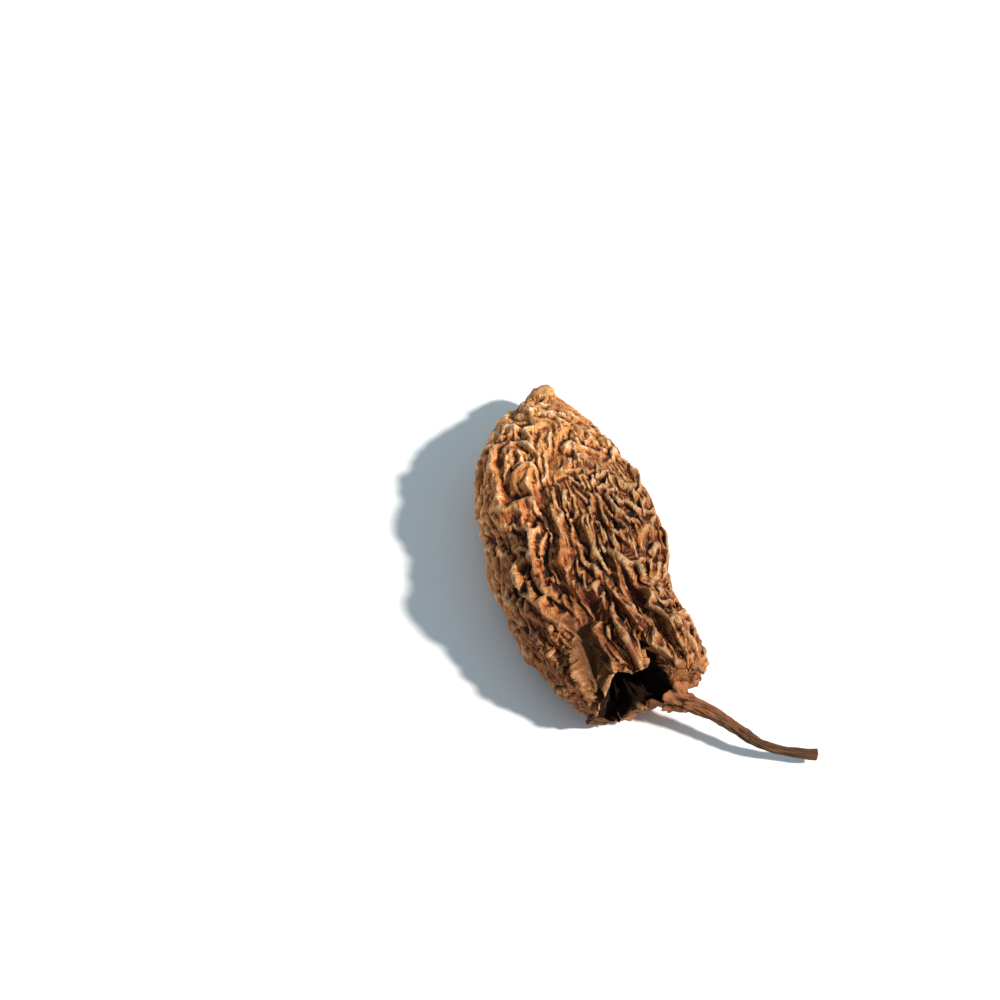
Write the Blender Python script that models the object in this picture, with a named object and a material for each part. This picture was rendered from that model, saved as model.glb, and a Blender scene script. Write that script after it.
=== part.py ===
"""A chipotle pepper: one dried, smoked pod with its calyx and stem, lying on its belly.

The pod is a single shrunken fruit. Its skin is drawn as a grid of rows (blossom tip to shoulder, then in over the
shoulder to the calyx) and columns (round the pod). The smooth envelope comes from stations along the pod, and the
wrinkles, folds and hollows are raised from it by formulas. The stem, with the calyx at its foot, is the second piece.

Frame: +Z up, +X from the blossom tip toward the stem, origin on the flat spot under the belly. Millimetres are used
throughout and turned into metres when a mesh is made.
"""
import bpy
import numpy as np

MM = 0.001
TURN = 2 * np.pi

# Pod envelope: x, y of the middle line, z of the middle, half width, half thickness
POD_STATIONS = (
    (-40.6, 10.6, 7.0, 0.0, 0.0),
    (-39.9, 10.1, 7.0, 1.6, 1.6),
    (-37.6, 8.6, 7.2, 3.1, 3.2),
    (-34.4, 7.0, 7.6, 5.0, 4.6),
    (-30.5, 4.8, 8.2, 8.2, 6.0),
    (-26.0, 3.2, 8.6, 10.9, 7.3),
    (-21.0, 2.2, 9.0, 12.9, 8.3),
    (-13.0, 1.3, 9.2, 14.5, 9.1),
    (-4.0, 0.0, 9.4, 15.5, 9.5),
    (5.0, -1.3, 9.4, 15.5, 9.7),
    (11.0, -2.4, 9.3, 15.0, 9.5),
    (16.0, -3.0, 9.1, 14.2, 9.1),
    (21.0, -2.1, 8.9, 13.8, 8.8),
    (26.0, -1.4, 8.8, 13.6, 8.5),
    (30.0, -1.0, 8.6, 12.9, 7.9),
    (33.0, -0.7, 8.4, 11.7, 7.0),
    (34.6, -0.6, 8.3, 10.4, 5.9),
)
POD_ROWS = 47
POD_COLUMNS = 94
SHOULDER_ROWS = 16
SHOULDER_CROWDING = 1.1
SECTION_ROUNDNESS = (0.95, 0.90)
SIDE_CROWDING = 0.14
MIDDLE_LINE_FOLLOW = 0.5

# The shoulder's end, by angle round the pod (0 right side, 90 top, 180 left side): angle, spread, shift along x, and
# the x from which it comes in
SHOULDER_SHIFTS = (
    (105.0, 48.0, -3.2, 10.0),
    (285.0, 50.0, -2.6, 10.0),
    (205.0, 30.0, -1.6, 10.0),
    (360.0, 30.0, -1.2, 10.0),
    (0.0, 30.0, -1.2, 10.0),
    (76.0, 10.0, -4.6, 20.0),
    (128.0, 12.0, -2.2, 22.0),
)

# Seat of the calyx on the shoulder, and the way the stem leaves it
SEAT = np.array([33.9, 3.6, 7.0])
STEM_WAY = np.array([0.90, 0.42, 0.08])
SEAT_FLAT = 3.0
SEAT_FADE = 4.2
SEAT_GAP = 0.35

# The hollow torn open between the fold ends and the calyx: where it leads, and its angles and reach from the rim
HOLLOW_HEART = np.array([20.5, -2.6, 6.0])
HOLLOW_DEPTH = 0.80
HOLLOW_ANGLES = (60.0, 70.0, 212.0, 228.0)
HOLLOW_REACH = (0.02, 0.12, 0.78, 0.92)

# Unevenness of the hollow's torn edge: seed, wave length, stretch, spread, and its size in degrees and in reach
TEAR_WAVES = (31, 4.5, 1.0, 0.5)
TEAR_DEGREES = 3.5
TEAR_REACH = 0.05

# The curled lip below the hollow: angle and spread, reach, and how far it is lifted
LIP_ANGLE = (234.0, 11.0)
LIP_REACH = (0.02, 0.20, 0.55, 0.85)
LIP_LIFT = np.array([0.4, -0.4, 2.9])

# Long folds on the upper side: plan points (x, y) of the crest, height, half width
FOLDS = (
    (((19, -8.0), (26, -7.0), (31, -5.2), (34, -3.2)), 2.3, 1.2),
    (((12, -7.0), (16, -4.6), (20, -3.6), (25, -2.6), (31, -0.8)), 2.4, 1.2),
    (((14, -2.0), (20, -0.2), (25, 2.0), (33, 4.6)), 2.6, 1.2),
    (((1, -12.4), (8, -12.8), (14, -11.6), (21, -10.8), (28, -11.8)), 2.1, 1.2),
    (((8, 3.2), (16, 4.6), (24, 7.0), (31, 8.8)), 1.8, 1.3),
    (((-4, -8.0), (4, -9.0), (11, -9.6), (17, -9.0)), 1.5, 1.2),
    (((-6, -3.0), (3, -4.6), (9, -5.6), (14, -6.6)), 1.4, 1.2),
)
FOLD_SHARPNESS = 1.15
FOLD_EASE = 0.25
FOLD_LEAN = 0.4
FOLD_LEAN_HEIGHTS = (-1.2, 2.2)
FOLD_LEAN_X = (0.0, 15.0)

# The sunken ground between the folds: depth, where it comes in along x, and where it comes in and goes across y
SUNKEN_DEPTH = 1.95
SUNKEN_X = (8.0, 20.0)
SUNKEN_Y = (-12.5, -10.0, 4.0, 8.0)

# The recess beside the hollow
RECESS_MIDDLE = (27.0, -9.3)
RECESS_SPREAD = (6.0, 2.2)
RECESS_DEPTH = 1.85

# Wandering of the wrinkles: seeds of its three parts, wave length, stretch, and how much of it is used
BEND_WAVES = ((11, 12, 13), 13.0, 1.3)
RIPPLE_WAVES = ((21, 22, 23), 5.0, 1.2)
RIPPLE_SIZE = 0.4

# Wrinkles all over the skin: their waves (seed, length, stretch, spread), height, width, and the mean taken off them
LUMP_WAVES = (3, 17.0, 2.2, 0.25)
LUMP_HEIGHT = 0.5
RIDGE_WAVES = (5, 8.0, 3.2, 0.3)
RIDGE_HEIGHT = 0.8
RIDGE_MORE_AT_STEM = 0.4
RIDGE_STEM_X = (-6.0, 14.0)
RIDGE_WIDTH = 1.0
RIDGE_MEAN = 0.4
PLATE_WAVES = (6, 5.6, 3.0, 0.3)
PLATE_HEIGHT = 0.8
PLATE_MEAN = 0.65
CREASE_WAVES = (7, 4.6, 2.6, 0.25)
CREASE_HEIGHT = 0.6
CREASE_WIDTH = 0.9
CREASE_MEAN = 0.4

# Where the wrinkles are held back: at the tip, inside the shoulder and on the flat spot that the pod rests on
TIP_FADE = 4.5
UPWARD = (-0.1, 0.5)
SHOULDER_CALM = (0.15, 0.30)
SHOULDER_CALM_REACH = 0.15
REST_RADIUS = (4.0, 8.0)
REST_SINK = 0.6

# Stem: x, y, z of its middle line past the calyx, radius
STEM_STATIONS = (
    (36.2, 5.0, 7.3, 1.45),
    (37.9, 6.6, 7.35, 1.18),
    (40.5, 9.0, 6.7, 1.06),
    (43.8, 11.7, 5.4, 0.93),
    (47.2, 14.4, 4.2, 0.84),
    (49.5, 17.9, 3.3, 0.80),
    (51.1, 21.1, 2.8, 0.90),
    (51.9, 23.0, 2.6, 1.08),
)
STEM_ROWS = 30
STEM_COLUMNS = 24
STEM_RIBS = 5
STEM_RIB_HEIGHT = 0.05
CUT_END_BULGE = 0.3

# Calyx: rings as distance from its back and share of its radius, its lobes, and how deep its edge is torn
CALYX_RADIUS = 2.3
CALYX_RINGS = ((0.0, 0.90), (0.35, 1.0), (0.8, 0.96), (1.3, 0.80), (1.9, 0.66), (2.4, 0.62))
CALYX_LOBES = 5
CALYX_LOBE_SIZE = 0.05
CALYX_TEAR = 0.14
CALYX_TEAR_WAVES = (43, 1.1, 1.0, 0.5)
CALYX_TEAR_RING = 1.5
CALYX_TEAR_ENDS = (0.8, 2.4)

# Colour (linear), roughness
POD_FINISH = ((0.305, 0.127, 0.054), 0.62)
STEM_FINISH = ((0.356, 0.181, 0.089), 0.70)


def smooth_step(x, start, end):
    """0 before start, 1 past end, and an even S between them."""
    share = np.clip((x - start) / (end - start), 0.0, 1.0)
    return share * share * (3.0 - 2.0 * share)


def bell(x, middle, spread):
    """1 at the middle, falling off as a Gaussian of this spread."""
    return np.exp(-(((x - middle) / spread) ** 2))


def through_stations(stations, count):
    """The stations joined by a Catmull-Rom curve and read at even steps along its plan length."""
    points = np.asarray(stations, float)
    before = 2 * points[0] - points[1]
    after = 2 * points[-1] - points[-2]
    padded = np.vstack([before, points, after])
    place = np.linspace(0, len(points) - 1, 60 * len(points))
    span = np.minimum(place.astype(int), len(points) - 2)
    t = (place - span)[:, None]
    p0, p1, p2, p3 = (padded[span + step] for step in range(4))
    line = 0.5 * (
        2 * p1 + (p2 - p0) * t + (2 * p0 - 5 * p1 + 4 * p2 - p3) * t**2 + (3 * p1 - p0 - 3 * p2 + p3) * t**3
    )
    steps = np.linalg.norm(np.diff(line[:, :2], axis=0), axis=1)
    length = np.concatenate([[0.0], np.cumsum(steps)])
    wanted = np.linspace(0, length[-1], count)
    return np.stack([np.interp(wanted, length, column) for column in line.T], axis=1)


def waves(points, seed, length, stretch=1.0, spread=0.25, count=48):
    """A seeded sum of plane waves of about this length, drawn out along x by the stretch, with a spread near 1."""
    draw = np.random.default_rng(seed)
    ways = draw.normal(size=(count, 3))
    ways /= np.linalg.norm(ways, axis=1)[:, None]
    ways *= TURN / length * (1 + spread * draw.uniform(-1, 1, (count, 1)))
    ways[:, 0] /= stretch
    phases = draw.uniform(0, TURN, count)
    return np.cos(points @ ways.T + phases).sum(axis=-1) / np.sqrt(count / 2)


def crest(field, width, rounding=0.12):
    """1 on the field's zero line, falling straight to 0 at the width, with a slightly rounded top."""
    slope = np.sqrt((field / width) ** 2 + rounding**2) - rounding
    return np.maximum(1 - slope, 0)


def row_normals(points):
    """Outward normals of a grid of rows, with one shared normal on the first and on the last row."""
    along = np.gradient(points, axis=0)
    around = np.roll(points, -1, axis=1) - np.roll(points, 1, axis=1)
    normals = np.cross(around, along)
    normals /= np.maximum(np.linalg.norm(normals, axis=2, keepdims=True), 1e-9)
    for end, inner in ((0, 1), (-1, -2)):
        mean = normals[inner].mean(axis=0)
        normals[end] = mean / np.linalg.norm(mean)
    return normals


def pod_angles():
    """The columns' angles round the pod, and the same crowded toward its two sides, where it bends most."""
    even = np.arange(POD_COLUMNS) / POD_COLUMNS * TURN
    return np.degrees(even), even + SIDE_CROWDING * np.sin(2 * even)


def pod_wall():
    """The smooth envelope from the blossom tip to the rim of the shoulder."""
    line = through_stations(POD_STATIONS, POD_ROWS)
    half_width = np.maximum(line[:, 3], 0)[:, None]
    half_thickness = np.maximum(line[:, 4], 0)[:, None]
    way = np.gradient(line[:, :2], axis=0)
    way /= np.linalg.norm(way, axis=1)[:, None]
    way = MIDDLE_LINE_FOLLOW * way + (1 - MIDDLE_LINE_FOLLOW) * np.array([1.0, 0.0])
    way /= np.linalg.norm(way, axis=1)[:, None]
    degrees, angles = pod_angles()
    across = np.sign(np.cos(angles)) * np.abs(np.cos(angles)) ** SECTION_ROUNDNESS[0]
    upward = np.sign(np.sin(angles)) * np.abs(np.sin(angles)) ** SECTION_ROUNDNESS[1]
    points = np.empty((POD_ROWS, POD_COLUMNS, 3))
    points[..., 0] = line[:, 0:1] - way[:, 1:2] * half_width * across
    points[..., 1] = line[:, 1:2] + way[:, 0:1] * half_width * across
    points[..., 2] = line[:, 2:3] + half_thickness * upward
    for middle, spread, amount, start_x in SHOULDER_SHIFTS:
        eased = smooth_step(line[:, 0:1], start_x, POD_STATIONS[-1][0])
        points[..., 0] += eased * amount * bell(degrees, middle, spread)
    return points


def window(x, starts, full, ending, ends):
    """0, rising to 1 between the first two places and falling back to 0 between the last two."""
    return smooth_step(x, starts, full) * (1 - smooth_step(x, ending, ends))


def shoulder(rim):
    """The rows from the rim in to the calyx seat, with the hollow and the curled lip, and the relief they keep."""
    reach = ((np.arange(1, SHOULDER_ROWS + 1) / SHOULDER_ROWS) ** SHOULDER_CROWDING)[:, None]
    points = rim[None] * (1 - reach[..., None]) + SEAT * reach[..., None]
    degrees, _ = pod_angles()
    torn = waves(points, *TEAR_WAVES)
    opening = window(degrees + TEAR_DEGREES * torn, *HOLLOW_ANGLES)
    entering = smooth_step(reach, *HOLLOW_REACH[:2])
    leaving = smooth_step(reach + TEAR_REACH * torn, *HOLLOW_REACH[2:])
    pushed = entering * (1 - leaving) * opening
    points = points + HOLLOW_DEPTH * pushed[..., None] * (HOLLOW_HEART - points)
    lip = window(reach, *LIP_REACH) * bell(degrees, *LIP_ANGLE)
    inside = smooth_step(reach, 0, SHOULDER_CALM_REACH)
    kept = 1 - inside * (SHOULDER_CALM[0] + SHOULDER_CALM[1] * opening)
    return points + lip[..., None] * LIP_LIFT, kept, 1 - inside


def beside_fold(plan, crest_points):
    """Distance from each plan point to the fold's crest line, and how far along the line its nearest point lies."""
    line = np.asarray(crest_points, float)
    lengths = np.linalg.norm(np.diff(line, axis=0), axis=1)
    nearest = np.full(plan.shape[:-1], np.inf)
    along = np.zeros(plan.shape[:-1])
    done = 0.0
    for start, end, length in zip(line[:-1], line[1:], lengths):
        share = np.clip((plan - start) @ (end - start) / length**2, 0, 1)
        distance = np.linalg.norm(plan - start - share[..., None] * (end - start), axis=-1)
        closer = distance < nearest
        along = np.where(closer, (done + share * length) / lengths.sum(), along)
        nearest = np.where(closer, distance, nearest)
        done += length
    return nearest, along


def long_folds(points, bent, facing_up):
    """Height of the named folds, of the sunken ground between them and of the recess beside the hollow."""
    x, y = points[..., 0], points[..., 1]
    sunken = smooth_step(x, *SUNKEN_X) * window(y, *SUNKEN_Y)
    recess = bell(x, RECESS_MIDDLE[0], RECESS_SPREAD[0]) * bell(y, RECESS_MIDDLE[1], RECESS_SPREAD[1])
    height = -SUNKEN_DEPTH * sunken - RECESS_DEPTH * recess
    plan = (points[..., :2] + bent[..., :2]) / 2
    for crest_points, rise, half_width in FOLDS:
        distance, along = beside_fold(plan, crest_points)
        height += rise * np.exp(-((distance / half_width) ** FOLD_SHARPNESS)) * smooth_step(along, 0, FOLD_EASE)
    return height * facing_up


def wander(points, seeds, length, stretch):
    """Three wave fields side by side, as one shift for each point."""
    return np.stack([waves(points, seed, length, stretch) for seed in seeds], axis=-1)


def skin_height(points, facing_up):
    """Height of the skin over the envelope: lumps, lengthwise ridges, plates, creases and the long folds."""
    bent = points + wander(points, *BEND_WAVES)
    rippled = bent + RIPPLE_SIZE * wander(bent, *RIPPLE_WAVES)
    ridges = RIDGE_HEIGHT + RIDGE_MORE_AT_STEM * smooth_step(points[..., 0], *RIDGE_STEM_X)
    height = LUMP_HEIGHT * waves(bent, *LUMP_WAVES)
    height += ridges * (crest(waves(bent, *RIDGE_WAVES), RIDGE_WIDTH) - RIDGE_MEAN)
    height += PLATE_HEIGHT * (np.minimum(np.abs(waves(rippled, *PLATE_WAVES)), 1.0) - PLATE_MEAN)
    height += CREASE_HEIGHT * (crest(waves(rippled, *CREASE_WAVES), CREASE_WIDTH) - CREASE_MEAN)
    return height + long_folds(points, bent, facing_up)


def pod_points():
    """The pod's whole grid, blossom tip first and calyx seat last."""
    wall = pod_wall()
    end, end_kept, end_outside = shoulder(wall[-1])
    points = np.concatenate([wall, end])
    whole = np.ones(wall.shape[:2])
    kept = np.concatenate([whole, end_kept])
    outside = np.concatenate([whole, np.broadcast_to(end_outside, end_kept.shape)])
    normals = row_normals(points)
    radius = np.linalg.norm(points - points.mean(axis=1, keepdims=True), axis=2)
    from_seat = np.linalg.norm(points - SEAT, axis=2)
    seated = 1 - smooth_step(from_seat, SEAT_FLAT, SEAT_FADE)
    seated[: POD_ROWS // 2] = 0
    from_rest = np.linalg.norm(points[..., :2], axis=2)
    resting = (1 - smooth_step(from_rest, *REST_RADIUS)) * (normals[..., 2] < 0)
    facing_up = smooth_step(normals[..., 2], *UPWARD) * outside
    amount = skin_height(points, facing_up) * smooth_step(radius, 0, TIP_FADE) * kept * (1 - seated) * (1 - resting)
    around = np.roll(points, -1, axis=1) - np.roll(points, 1, axis=1)
    around /= np.maximum(np.linalg.norm(around, axis=2, keepdims=True), 1e-9)
    lean = FOLD_LEAN * np.clip(amount, *FOLD_LEAN_HEIGHTS) * smooth_step(points[..., 0], *FOLD_LEAN_X) * facing_up
    points = points + normals * amount[..., None] + around * lean[..., None]
    way = STEM_WAY / np.linalg.norm(STEM_WAY)
    off_plane = (points - SEAT) @ way
    points = points - (seated * off_plane)[..., None] * way
    points[..., 2] -= REST_SINK * resting
    points[..., 2] = np.maximum(points[..., 2], 0)
    return points


def stem_points():
    """The stem's grid from the middle of the calyx's back to the cut end: rings round a line, ribbed and torn."""
    way = STEM_WAY / np.linalg.norm(STEM_WAY)
    foot = SEAT + SEAT_GAP * way
    calyx = [(*foot, 0.0)] + [(*(foot + ahead * way), CALYX_RADIUS * share) for ahead, share in CALYX_RINGS]
    shaft = through_stations(STEM_STATIONS, STEM_ROWS)
    onward = (shaft[-1] - shaft[-2])[:3]
    onward /= np.linalg.norm(onward)
    cut = (*(shaft[-1, :3] + CUT_END_BULGE * onward), 0.0)
    rows = np.vstack([calyx, shaft, cut])
    middle, radius = rows[:, :3], rows[:, 3]
    ways = np.gradient(middle, axis=0)
    ways[: len(calyx)] = way
    ways[-1] = onward
    ways /= np.linalg.norm(ways, axis=1)[:, None]
    side = np.cross([0.0, 0.0, 1.0], ways)
    side /= np.linalg.norm(side, axis=1)[:, None]
    over = np.cross(ways, side)
    angles = np.arange(STEM_COLUMNS) / STEM_COLUMNS * TURN
    ring = CALYX_TEAR_RING * np.stack([np.cos(angles), np.sin(angles), 0 * angles], axis=-1)
    torn = CALYX_LOBE_SIZE * np.cos(CALYX_LOBES * angles) + CALYX_TEAR * np.abs(waves(ring, *CALYX_TEAR_WAVES))
    fading = 1 - smooth_step(np.linalg.norm(middle - foot, axis=1), *CALYX_TEAR_ENDS)
    ribs = STEM_RIB_HEIGHT * np.cos(STEM_RIBS * angles)
    reach = radius[:, None] * (1 + ribs[None] + fading[:, None] * torn[None])
    return middle[:, None] + (reach * np.cos(angles))[..., None] * side[:, None] + (
        reach * np.sin(angles)
    )[..., None] * over[:, None]


def closed_mesh(name, grid):
    """A closed mesh from a grid whose first and last rows are single points, in metres."""
    rows, columns = grid.shape[:2]
    inner = grid[1:-1].reshape(-1, 3)
    points = np.concatenate([grid[0, :1], inner, grid[-1, :1]]) * MM
    column = np.arange(columns)
    following = (column + 1) % columns
    starts = 1 + np.arange(rows - 3)[:, None] * columns
    quads = np.stack(
        [starts + column, starts + following, starts + following + columns, starts + column + columns], axis=-1
    ).reshape(-1, 4)
    last = 1 + (rows - 3) * columns
    foot = [(0, 1 + b, 1 + a) for a, b in zip(column, following)]
    head = [(len(points) - 1, last + a, last + b) for a, b in zip(column, following)]
    mesh = bpy.data.meshes.new(name)
    mesh.from_pydata(points.tolist(), [], foot + quads.tolist() + head)
    mesh.update()
    return mesh


def material(name, finish):
    """A plain Principled material: linear colour and roughness."""
    made = bpy.data.materials.new(name)
    made.use_nodes = True
    shader = made.node_tree.nodes["Principled BSDF"]
    shader.inputs["Base Color"].default_value = (*finish[0], 1.0)
    shader.inputs["Roughness"].default_value = finish[1]
    shader.inputs["Metallic"].default_value = 0.0
    return made


def add_piece(name, grid, finish):
    """One node: an object with its closed mesh and its own material."""
    mesh = closed_mesh(name, grid)
    mesh.materials.append(material(name, finish))
    made = bpy.data.objects.new(name, mesh)
    bpy.context.scene.collection.objects.link(made)
    return made


def main():
    """Clears the scene and builds the pepper's two pieces."""
    for left in list(bpy.data.objects):
        bpy.data.objects.remove(left)
    add_piece("pod", pod_points(), POD_FINISH)
    add_piece("stem", stem_points(), STEM_FINISH)


main()
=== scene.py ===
"""A dried, smoked chipotle pepper, seen close up on a pale sheet.

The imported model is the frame: its pod and its stem are each stood for by one finer piece of the same form.
The pod's skin is a grid that starts from the same stations, folds and ridges as the model's, and is then
shrivelled: the skin is given more area than the flesh under it, and settles into creases at three scales.

Lengths in the classes are millimetres, and become metres when a mesh is made. +X runs along the pod from the
blossom tip toward the stem, and +Z is up.
"""

import logging
import math
from dataclasses import dataclass
from enum import Enum
from typing import Optional

import bpy
import numpy as np
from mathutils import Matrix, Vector


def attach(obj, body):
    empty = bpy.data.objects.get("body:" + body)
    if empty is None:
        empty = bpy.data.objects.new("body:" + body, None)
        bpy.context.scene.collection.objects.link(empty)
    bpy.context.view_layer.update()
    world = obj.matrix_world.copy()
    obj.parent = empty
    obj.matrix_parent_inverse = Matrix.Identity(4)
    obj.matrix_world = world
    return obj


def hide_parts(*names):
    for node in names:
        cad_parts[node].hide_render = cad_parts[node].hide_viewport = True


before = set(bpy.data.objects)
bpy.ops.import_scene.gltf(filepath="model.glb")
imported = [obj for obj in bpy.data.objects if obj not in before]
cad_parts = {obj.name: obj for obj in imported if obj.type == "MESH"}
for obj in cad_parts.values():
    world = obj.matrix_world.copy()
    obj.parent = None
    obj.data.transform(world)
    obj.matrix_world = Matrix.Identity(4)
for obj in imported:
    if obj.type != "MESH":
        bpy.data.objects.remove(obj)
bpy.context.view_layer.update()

log = logging.getLogger("pepper")

MM = 0.001
TURN = 2 * math.pi
TINY = 1e-9

# A grid holds a point, and a field a number, for each row and column of a surface
Grid = np.ndarray
Field = np.ndarray
Socket = bpy.types.NodeSocket


class Slot(Enum):
    """The record's material slots."""

    POD_SKIN = "pod_skin"
    STEM_TISSUE = "stem_tissue"


class Layer(Enum):
    """The point attributes that a skin's material reads."""

    RELIEF = "relief"
    FINE_RELIEF = "fine_relief"
    BROAD_RELIEF = "broad_relief"
    HOLLOW = "hollow"
    RECESS = "recess"


class Coat(Enum):
    """How one colour goes on another: laid over it, or multiplied into it."""

    OVER = "MIX"
    MULTIPLIED = "MULTIPLY"


# Shape helpers


def smooth_step(x: Field, start: float, end: float) -> Field:
    """0 before start, 1 past end, and the cubic 3s^2 - 2s^3 between them."""
    share = np.clip((x - start) / (end - start), 0.0, 1.0)
    return share * share * (3.0 - 2.0 * share)


def bell(x: Field, middle: float, spread: float) -> Field:
    """exp(-((x - middle) / spread)^2)."""
    return np.exp(-(((x - middle) / spread) ** 2))


def unit(vectors: Grid) -> Grid:
    """The vectors, each divided by its length."""
    lengths = np.linalg.norm(vectors, axis=-1, keepdims=True)
    return vectors / np.maximum(lengths, TINY)


def through_stations(stations: tuple, count: int, finer: int = 60) -> Grid:
    """A Catmull-Rom curve through the stations, read at even steps of its length in plan.

    Args:
        stations: Rows of numbers whose first two are x and y.
        count: How many rows to read.
        finer: How many points of the curve are worked out for each station.

    Returns:
        The rows, count by the stations' width.
    """
    points = np.asarray(stations, float)
    padded = np.vstack([2 * points[0] - points[1], points, 2 * points[-1] - points[-2]])
    place = np.linspace(0, len(points) - 1, finer * len(points))
    span = np.minimum(place.astype(int), len(points) - 2)
    t = (place - span)[:, None]
    p0, p1, p2, p3 = (padded[span + step] for step in range(4))
    line = 0.5 * (
        2 * p1
        + (p2 - p0) * t
        + (2 * p0 - 5 * p1 + 4 * p2 - p3) * t**2
        + (3 * p1 - p0 - 3 * p2 + p3) * t**3
    )
    steps = np.linalg.norm(np.diff(line[:, :2], axis=0), axis=1)
    length = np.concatenate([[0.0], np.cumsum(steps)])
    wanted = np.linspace(0, length[-1], count)
    return np.stack([np.interp(wanted, length, column) for column in line.T], axis=1)


@dataclass(frozen=True)
class Waves:
    """A smooth random field: a seeded sum of plane waves.

    Attributes:
        seed: Seed of the waves' directions and phases.
        length: Their length across the pod.
        stretch: How many times longer they are along the pod.
        spread: How far single waves depart from the length, as a share.
        count: How many waves there are.
    """

    seed: int
    length: float
    stretch: float = 1.0
    spread: float = 0.25
    count: int = 48

    def at(self, points: Grid) -> Field:
        """sum(cos(k_i . p + phase_i)) / sqrt(count / 2), so its spread is near 1.

        Args:
            points: The points, anything by 3.

        Returns:
            The field at each point.
        """
        draw = np.random.default_rng(self.seed)
        ways = draw.normal(size=(self.count, 3))
        ways /= np.linalg.norm(ways, axis=1)[:, None]
        ways *= TURN / self.length * (1 + self.spread * draw.uniform(-1, 1, (self.count, 1)))
        ways[:, 0] /= self.stretch
        phases = draw.uniform(0, TURN, self.count)
        return np.cos(points @ ways.T + phases).sum(axis=-1) / math.sqrt(self.count / 2)


@dataclass(frozen=True)
class Wander:
    """A smooth random shift of the ground that a pattern is read on: three wave fields times a reach."""

    seeds: tuple[int, int, int]
    length: float
    stretch: float
    reach: float

    def at(self, points: Grid) -> Grid:
        """reach * (f1, f2, f3) at each point."""
        fields = [Waves(seed, self.length, self.stretch).at(points) for seed in self.seeds]
        return self.reach * np.stack(fields, axis=-1)


def crest(values: Field, width: float, rounding: float = 0.12) -> Field:
    """1 where the field f is 0, falling to 0 at the width: 1 - (hypot(f / width, r) - r), at least 0."""
    slope = np.sqrt((values / width) ** 2 + rounding**2) - rounding
    return np.maximum(1 - slope, 0)


@dataclass(frozen=True)
class Crests:
    """Sharp ridges on a wave field's zero line, or grooves where the rise is negative."""

    waves: Waves
    width: float
    rise: float
    sunk: float = 0.0

    def height(self, points: Grid) -> Field:
        """rise * (crest(waves, width) - sunk)."""
        return self.rise * (crest(self.waves.at(points), self.width) - self.sunk)


def row_normals(points: Grid) -> Grid:
    """Outward normals of a grid of rows that close round: the unit cross of its two directions.

    Args:
        points: Rows by columns by 3, whose first and last rows are single points.

    Returns:
        One unit vector for each point, shared along the first and along the last row.
    """
    along = np.gradient(points, axis=0)
    around = np.roll(points, -1, axis=1) - np.roll(points, 1, axis=1)
    normals = unit(np.cross(around, along))
    for end, inner in ((0, 1), (-1, -2)):
        normals[end] = unit(normals[inner].mean(axis=0))
    return normals


def next_row(values: Grid) -> Grid:
    """The grid moved one row toward the tip, so that each point meets its neighbour toward the stem."""
    return np.concatenate([values[1:], values[-1:]])


def previous_row(values: Grid) -> Grid:
    """The grid moved one row toward the stem."""
    return np.concatenate([values[:1], values[:-1]])


def curving(values: Grid) -> Grid:
    """How far each value lies from its neighbours: their mean, less the value.

    Args:
        values: A grid whose rows close round.

    Returns:
        sum(straight) / 5 + sum(diagonal) / 20 - value, over the eight neighbours.
    """
    ahead = next_row(values)
    behind = previous_row(values)
    straight = ahead + behind + np.roll(values, 1, 1) + np.roll(values, -1, 1)
    diagonal = np.roll(ahead, 1, 1) + np.roll(ahead, -1, 1) + np.roll(behind, 1, 1) + np.roll(behind, -1, 1)
    weights = np.asarray((1 / 5, 1 / 20), values.dtype)
    return straight * weights[0] + diagonal * weights[1] - values


def twice_as_fine(values: Grid) -> Grid:
    """Puts a row and a column between each two, by the cubic rule (9(a + b) - (c + d)) / 16.

    Args:
        values: A grid whose rows close round.

    Returns:
        The grid with 2n - 1 rows and 2n columns.
    """
    rows = np.empty((2 * values.shape[0] - 1,) + values.shape[1:], values.dtype)
    rows[::2] = values
    before = np.concatenate([values[:1], values[:-2]])
    after = np.concatenate([values[2:], values[-1:]])
    rows[1::2] = (9 * (values[:-1] + values[1:]) - before - after) / 16
    both = np.empty((rows.shape[0], 2 * rows.shape[1]) + rows.shape[2:], values.dtype)
    both[:, ::2] = rows
    both[:, 1::2] = (9 * (rows + np.roll(rows, -1, 1)) - np.roll(rows, 1, 1) - np.roll(rows, -2, 1)) / 16
    return both


# Making pieces


def placed(name: str, data: bpy.types.ID) -> bpy.types.Object:
    """Makes an object of the data and links it to the scene.

    Args:
        name: The object's name.
        data: Its mesh, light or camera.

    Returns:
        The object.
    """
    made = bpy.data.objects.new(name, data)
    bpy.context.scene.collection.objects.link(made)
    return made


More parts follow.
